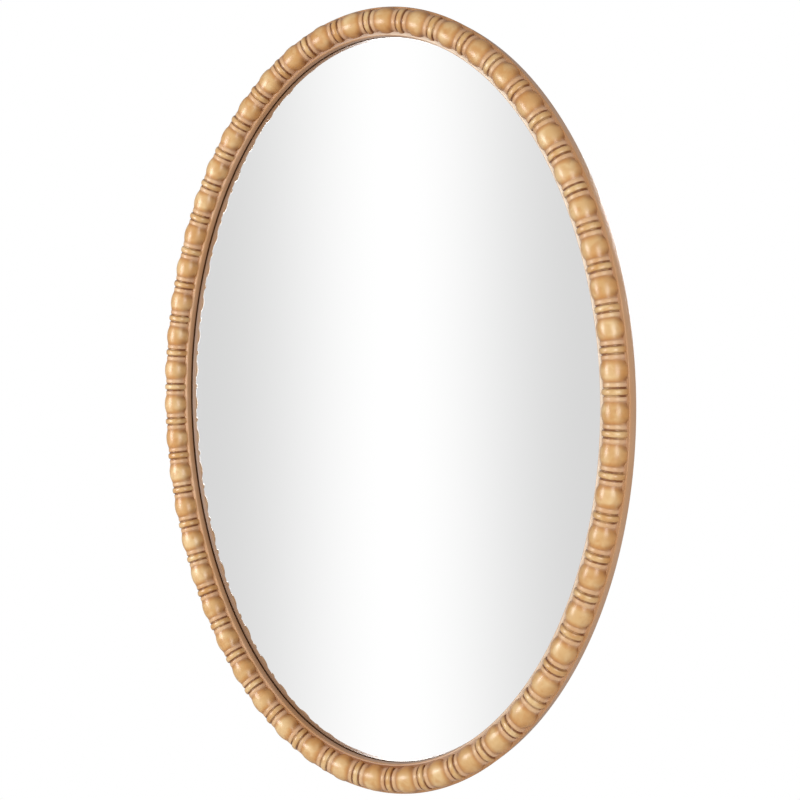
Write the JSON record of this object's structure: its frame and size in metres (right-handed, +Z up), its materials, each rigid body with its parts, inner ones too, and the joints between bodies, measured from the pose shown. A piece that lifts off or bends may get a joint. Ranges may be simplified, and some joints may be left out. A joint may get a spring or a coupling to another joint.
{
  "type": "oval wall mirror",
  "caption": "Tall oval wall mirror in a tan wooden frame with a bead-and-reel moulding, hung from a D-ring on each side of its back.",
  "frame": {"origin": "middle of the oval, on the plane of the wall that the bumpers touch", "axes": "+Z up along the tall axis, -Y out of the mirror towards the viewer, +Y into the wall, +X to the viewer's right"},
  "size_m": [0.61, 0.0408, 0.902],
  "materials": {
    "frame_wood": "satin lacquer over a tan stain",
    "bead_wood": "satin lacquer over a golden tan stain, darker in the grooves",
    "tongue_wood": "bare beech",
    "mirror": "silvered float glass",
    "board": "plain MDF",
    "plated_steel": "zinc plated",
    "screw_steel": "zinc plated",
    "ring_steel": "nickel plated",
    "bumper_rubber": "matt"
  },
  "bodies": {
    "mirror": {"frame_segment_1": "frame_wood", "frame_segment_2": "frame_wood", "frame_segment_3": "frame_wood", "frame_segment_4": "frame_wood", "frame_segment_5": "frame_wood", "frame_segment_6": "frame_wood", "joint_tongue_1": "tongue_wood", "joint_tongue_2": "tongue_wood", "joint_tongue_3": "tongue_wood", "joint_tongue_4": "tongue_wood", "joint_tongue_5": "tongue_wood", "joint_tongue_6": "tongue_wood", "bead_string_1": "bead_wood", "bead_string_2": "bead_wood", "bead_string_3": "bead_wood", "bead_string_4": "bead_wood", "bead_string_5": "bead_wood", "bead_string_6": "bead_wood", "bead_string_7": "bead_wood", "mirror_glass": "mirror", "backing_board": "board", "retainer_plate_1": "plated_steel", "retainer_plate_2": "plated_steel", "retainer_plate_3": "plated_steel", "retainer_plate_4": "plated_steel", "retainer_plate_5": "plated_steel", "retainer_plate_6": "plated_steel", "retainer_plate_7": "plated_steel", "retainer_plate_8": "plated_steel", "retainer_plate_9": "plated_steel", "retainer_plate_10": "plated_steel", "retainer_screws": "screw_steel", "hanger_strap_left": "plated_steel", "hanger_strap_right": "plated_steel", "strap_screws": "screw_steel", "wall_bumper_1": "bumper_rubber", "wall_bumper_2": "bumper_rubber", "wall_bumper_3": "bumper_rubber", "wall_bumper_4": "bumper_rubber"},
    "ring_left": {"hanger_ring_left": "ring_steel"},
    "ring_right": {"hanger_ring_right": "ring_steel"}
  },
  "joints": [
    {"name": "left_ring_hinge", "type": "hinge", "parent": "mirror", "child": "ring_left", "pos_m": [-0.26962, -0.00325, 0.17], "axis": [1, 0, 0], "range_deg": [0, 180]},
    {"name": "right_ring_hinge", "type": "hinge", "parent": "mirror", "child": "ring_right", "pos_m": [0.26962, -0.00325, 0.17], "axis": [1, 0, 0], "range_deg": [0, 180]}
  ]
}
